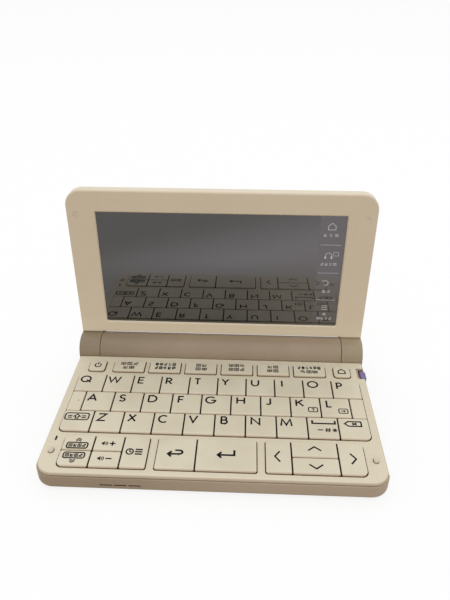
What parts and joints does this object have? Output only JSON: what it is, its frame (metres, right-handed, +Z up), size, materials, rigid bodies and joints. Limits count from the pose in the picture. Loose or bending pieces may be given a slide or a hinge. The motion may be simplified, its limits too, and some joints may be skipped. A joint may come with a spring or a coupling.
{
  "type": "electronic dictionary",
  "caption": "Pocket electronic dictionary: a clamshell with a letter keyboard, a touch display in the lid, a round hinge barrel that holds the cells, and a stylus in the side.",
  "frame": {"origin": "on the table, under the centre of the open object's box", "axes": "+X to the user's right along the keyboard, +Y away from the user towards the hinge, +Z up"},
  "size_m": [0.1484, 0.0987, 0.0962],
  "materials": {
    "cream_plastic": "fine matte",
    "brown_plastic": "fine matte",
    "key_plastic": "satin",
    "violet_plastic": "satin",
    "display_glass": "gloss, dark panel behind it",
    "board": "satin",
    "mat_rubber": "matte",
    "pad_rubber": "matte",
    "cell_sleeve": "satin"
  },
  "bodies": {
    "base": {"lower_case": "brown_plastic", "upper_case": "cream_plastic", "key_mat": "mat_rubber", "main_board": "board", "batteries": "cell_sleeve", "rubber_pads": "pad_rubber"},
    "lid": {"lid_cover": "cream_plastic", "lid_bezel": "cream_plastic", "hinge_knuckles": "brown_plastic", "display": "display_glass"},
    "battery_door": {"battery_cover": "brown_plastic"},
    "stylus_body": {"stylus": "violet_plastic"},
    "key_power": {"key_power": "key_plastic"},
    "key_list_1": {"key_list_1": "key_plastic"},
    "key_list_2": {"key_list_2": "key_plastic"},
    "key_list_3": {"key_list_3": "key_plastic"},
    "key_list_4": {"key_list_4": "key_plastic"},
    "key_list_5": {"key_list_5": "key_plastic"},
    "key_list_6": {"key_list_6": "key_plastic"},
    "key_home": {"key_home": "key_plastic"},
    "key_q": {"key_q": "key_plastic"},
    "key_w": {"key_w": "key_plastic"},
    "key_e": {"key_e": "key_plastic"},
    "key_r": {"key_r": "key_plastic"},
    "key_t": {"key_t": "key_plastic"},
    "key_y": {"key_y": "key_plastic"},
    "key_u": {"key_u": "key_plastic"},
    "key_i": {"key_i": "key_plastic"},
    "key_o": {"key_o": "key_plastic"},
    "key_p": {"key_p": "key_plastic"},
    "key_a": {"key_a": "key_plastic"},
    "key_s": {"key_s": "key_plastic"},
    "key_d": {"key_d": "key_plastic"},
    "key_f": {"key_f": "key_plastic"},
    "key_g": {"key_g": "key_plastic"},
    "key_h": {"key_h": "key_plastic"},
    "key_j": {"key_j": "key_plastic"},
    "key_k": {"key_k": "key_plastic"},
    "key_l": {"key_l": "key_plastic"},
    "key_shift": {"key_shift": "key_plastic"},
    "key_z": {"key_z": "key_plastic"},
    "key_x": {"key_x": "key_plastic"},
    "key_c": {"key_c": "key_plastic"},
    "key_v": {"key_v": "key_plastic"},
    "key_b": {"key_b": "key_plastic"},
    "key_n": {"key_n": "key_plastic"},
    "key_m": {"key_m": "key_plastic"},
    "key_space": {"key_space": "key_plastic"},
    "key_delete": {"key_delete": "key_plastic"},
    "key_page_up": {"key_page_up": "key_plastic"},
    "key_page_down": {"key_page_down": "key_plastic"},
    "key_volume_up": {"key_volume_up": "key_plastic"},
    "key_volume_down": {"key_volume_down": "key_plastic"},
    "key_history": {"key_history": "key_plastic"},
    "key_back": {"key_back": "key_plastic"},
    "key_enter": {"key_enter": "key_plastic"},
    "key_left": {"key_left": "key_plastic"},
    "key_up": {"key_up": "key_plastic"},
    "key_down": {"key_down": "key_plastic"},
    "key_right": {"key_right": "key_plastic"}
  },
  "joints": [
    {"name": "lid_hinge", "type": "hinge", "parent": "base", "child": "lid", "pos_m": [0, 0.0387, 0.0091], "axis": [1, 0, 0], "range_deg": [-73, 92]},
    {"name": "battery_door_slide", "type": "slide", "parent": "base", "child": "battery_door", "axis": [0, 1, 0], "range_m": [0, 0.012]},
    {"name": "stylus_slide", "type": "slide", "parent": "base", "child": "stylus_body", "axis": [1, 0, 0], "range_m": [0, 0.006]},
    {"name": "key_power_press", "type": "slide", "parent": "base", "child": "key_power", "axis": [0, 0, -1], "range_m": [0, 0.0008], "stiffness_N_per_m": 900},
    {"name": "key_list_1_press", "type": "slide", "parent": "base", "child": "key_list_1", "axis": [0, 0, -1], "range_m": [0, 0.0008], "stiffness_N_per_m": 900},
    {"name": "key_list_2_press", "type": "slide", "parent": "base", "child": "key_list_2", "axis": [0, 0, -1], "range_m": [0, 0.0008], "stiffness_N_per_m": 900},
    {"name": "key_list_3_press", "type": "slide", "parent": "base", "child": "key_list_3", "axis": [0, 0, -1], "range_m": [0, 0.0008], "stiffness_N_per_m": 900},
    {"name": "key_list_4_press", "type": "slide", "parent": "base", "child": "key_list_4", "axis": [0, 0, -1], "range_m": [0, 0.0008], "stiffness_N_per_m": 900},
    {"name": "key_list_5_press", "type": "slide", "parent": "base", "child": "key_list_5", "axis": [0, 0, -1], "range_m": [0, 0.0008], "stiffness_N_per_m": 900},
    {"name": "key_list_6_press", "type": "slide", "parent": "base", "child": "key_list_6", "axis": [0, 0, -1], "range_m": [0, 0.0008], "stiffness_N_per_m": 900},
    {"name": "key_home_press", "type": "slide", "parent": "base", "child": "key_home", "axis": [0, 0, -1], "range_m": [0, 0.0008], "stiffness_N_per_m": 900},
    {"name": "key_q_press", "type": "slide", "parent": "base", "child": "key_q", "axis": [0, 0, -1], "range_m": [0, 0.0008], "stiffness_N_per_m": 900},
    {"name": "key_w_press", "type": "slide", "parent": "base", "child": "key_w", "axis": [0, 0, -1], "range_m": [0, 0.0008], "stiffness_N_per_m": 900},
    {"name": "key_e_press", "type": "slide", "parent": "base", "child": "key_e", "axis": [0, 0, -1], "range_m": [0, 0.0008], "stiffness_N_per_m": 900},
    {"name": "key_r_press", "type": "slide", "parent": "base", "child": "key_r", "axis": [0, 0, -1], "range_m": [0, 0.0008], "stiffness_N_per_m": 900},
    {"name": "key_t_press", "type": "slide", "parent": "base", "child": "key_t", "axis": [0, 0, -1], "range_m": [0, 0.0008], "stiffness_N_per_m": 900},
    {"name": "key_y_press", "type": "slide", "parent": "base", "child": "key_y", "axis": [0, 0, -1], "range_m": [0, 0.0008], "stiffness_N_per_m": 900},
    {"name": "key_u_press", "type": "slide", "parent": "base", "child": "key_u", "axis": [0, 0, -1], "range_m": [0, 0.0008], "stiffness_N_per_m": 900},
    {"name": "key_i_press", "type": "slide", "parent": "base", "child": "key_i", "axis": [0, 0, -1], "range_m": [0, 0.0008], "stiffness_N_per_m": 900},
    {"name": "key_o_press", "type": "slide", "parent": "base", "child": "key_o", "axis": [0, 0, -1], "range_m": [0, 0.0008], "stiffness_N_per_m": 900},
    {"name": "key_p_press", "type": "slide", "parent": "base", "child": "key_p", "axis": [0, 0, -1], "range_m": [0, 0.0008], "stiffness_N_per_m": 900},
    {"name": "key_a_press", "type": "slide", "parent": "base", "child": "key_a", "axis": [0, 0, -1], "range_m": [0, 0.0008], "stiffness_N_per_m": 900},
    {"name": "key_s_press", "type": "slide", "parent": "base", "child": "key_s", "axis": [0, 0, -1], "range_m": [0, 0.0008], "stiffness_N_per_m": 900},
    {"name": "key_d_press", "type": "slide", "parent": "base", "child": "key_d", "axis": [0, 0, -1], "range_m": [0, 0.0008], "stiffness_N_per_m": 900},
    {"name": "key_f_press", "type": "slide", "parent": "base", "child": "key_f", "axis": [0, 0, -1], "range_m": [0, 0.0008], "stiffness_N_per_m": 900},
    {"name": "key_g_press", "type": "slide", "parent": "base", "child": "key_g", "axis": [0, 0, -1], "range_m": [0, 0.0008], "stiffness_N_per_m": 900},
    {"name": "key_h_press", "type": "slide", "parent": "base", "child": "key_h", "axis": [0, 0, -1], "range_m": [0, 0.0008], "stiffness_N_per_m": 900},
    {"name": "key_j_press", "type": "slide", "parent": "base", "child": "key_j", "axis": [0, 0, -1], "range_m": [0, 0.0008], "stiffness_N_per_m": 900},
    {"name": "key_k_press", "type": "slide", "parent": "base", "child": "key_k", "axis": [0, 0, -1], "range_m": [0, 0.0008], "stiffness_N_per_m": 900},
    {"name": "key_l_press", "type": "slide", "parent": "base", "child": "key_l", "axis": [0, 0, -1], "range_m": [0, 0.0008], "stiffness_N_per_m": 900},
    {"name": "key_shift_press", "type": "slide", "parent": "base", "child": "key_shift", "axis": [0, 0, -1], "range_m": [0, 0.0008], "stiffness_N_per_m": 900},
    {"name": "key_z_press", "type": "slide", "parent": "base", "child": "key_z", "axis": [0, 0, -1], "range_m": [0, 0.0008], "stiffness_N_per_m": 900},
    {"name": "key_x_press", "type": "slide", "parent": "base", "child": "key_x", "axis": [0, 0, -1], "range_m": [0, 0.0008], "stiffness_N_per_m": 900},
    {"name": "key_c_press", "type": "slide", "parent": "base", "child": "key_c", "axis": [0, 0, -1], "range_m": [0, 0.0008], "stiffness_N_per_m": 900},
    {"name": "key_v_press", "type": "slide", "parent": "base", "child": "key_v", "axis": [0, 0, -1], "range_m": [0, 0.0008], "stiffness_N_per_m": 900},
    {"name": "key_b_press", "type": "slide", "parent": "base", "child": "key_b", "axis": [0, 0, -1], "range_m": [0, 0.0008], "stiffness_N_per_m": 900},
    {"name": "key_n_press", "type": "slide", "parent": "base", "child": "key_n", "axis": [0, 0, -1], "range_m": [0, 0.0008], "stiffness_N_per_m": 900},
    {"name": "key_m_press", "type": "slide", "parent": "base", "child": "key_m", "axis": [0, 0, -1], "range_m": [0, 0.0008], "stiffness_N_per_m": 900},
    {"name": "key_space_press", "type": "slide", "parent": "base", "child": "key_space", "axis": [0, 0, -1], "range_m": [0, 0.0008], "stiffness_N_per_m": 900},
    {"name": "key_delete_press", "type": "slide", "parent": "base", "child": "key_delete", "axis": [0, 0, -1], "range_m": [0, 0.0008], "stiffness_N_per_m": 900},
    {"name": "key_page_up_press", "type": "slide", "parent": "base", "child": "key_page_up", "axis": [0, 0, -1], "range_m": [0, 0.0008], "stiffness_N_per_m": 900},
    {"name": "key_page_down_press", "type": "slide", "parent": "base", "child": "key_page_down", "axis": [0, 0, -1], "range_m": [0, 0.0008], "stiffness_N_per_m": 900},
    {"name": "key_volume_up_press", "type": "slide", "parent": "base", "child": "key_volume_up", "axis": [0, 0, -1], "range_m": [0, 0.0008], "stiffness_N_per_m": 900},
    {"name": "key_volume_down_press", "type": "slide", "parent": "base", "child": "key_volume_down", "axis": [0, 0, -1], "range_m": [0, 0.0008], "stiffness_N_per_m": 900},
    {"name": "key_history_press", "type": "slide", "parent": "base", "child": "key_history", "axis": [0, 0, -1], "range_m": [0, 0.0008], "stiffness_N_per_m": 900},
    {"name": "key_back_press", "type": "slide", "parent": "base", "child": "key_back", "axis": [0, 0, -1], "range_m": [0, 0.0008], "stiffness_N_per_m": 900},
    {"name": "key_enter_press", "type": "slide", "parent": "base", "child": "key_enter", "axis": [0, 0, -1], "range_m": [0, 0.0008], "stiffness_N_per_m": 900},
    {"name": "key_left_press", "type": "slide", "parent": "base", "child": "key_left", "axis": [0, 0, -1], "range_m": [0, 0.0008], "stiffness_N_per_m": 900},
    {"name": "key_up_press", "type": "slide", "parent": "base", "child": "key_up", "axis": [0, 0, -1], "range_m": [0, 0.0008], "stiffness_N_per_m": 900},
    {"name": "key_down_press", "type": "slide", "parent": "base", "child": "key_down", "axis": [0, 0, -1], "range_m": [0, 0.0008], "stiffness_N_per_m": 900},
    {"name": "key_right_press", "type": "slide", "parent": "base", "child": "key_right", "axis": [0, 0, -1], "range_m": [0, 0.0008], "stiffness_N_per_m": 900}
  ]
}
